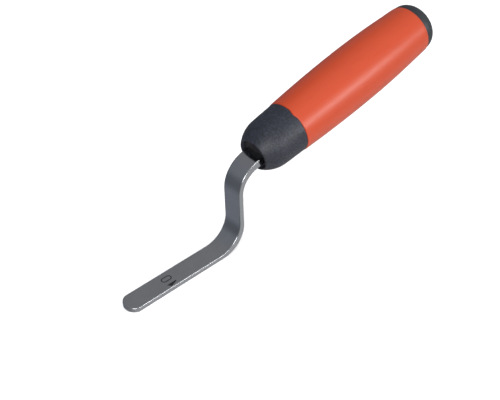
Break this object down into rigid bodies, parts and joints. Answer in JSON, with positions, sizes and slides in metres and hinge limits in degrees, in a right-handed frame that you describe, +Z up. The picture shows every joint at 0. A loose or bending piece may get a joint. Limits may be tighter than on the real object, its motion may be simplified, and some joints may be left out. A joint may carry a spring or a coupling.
{
  "type": "brick jointer",
  "caption": "Cranked flat steel strip with a rounded tip in a round barrel handle, drawn along mortar joints to press and smooth them.",
  "frame": {"origin": "middle of the blade's flat working face, on its underside", "axes": "+X from the blade's tip towards the butt of the handle, +Z up, square to the working face, +Y across the strip"},
  "size_m": [0.1836, 0.0272, 0.0763],
  "materials": {
    "steel": "satin polished spring steel",
    "core_plastic": "as moulded",
    "nose_plastic": "spark-eroded matt texture",
    "grip_plastic": "smooth satin moulding",
    "cap_plastic": "smooth satin moulding"
  },
  "bodies": {
    "root": {"blade": "steel", "handle_core": "core_plastic", "nose_collar": "nose_plastic", "grip_sleeve": "grip_plastic", "end_cap": "cap_plastic"}
  },
  "joints": []
}
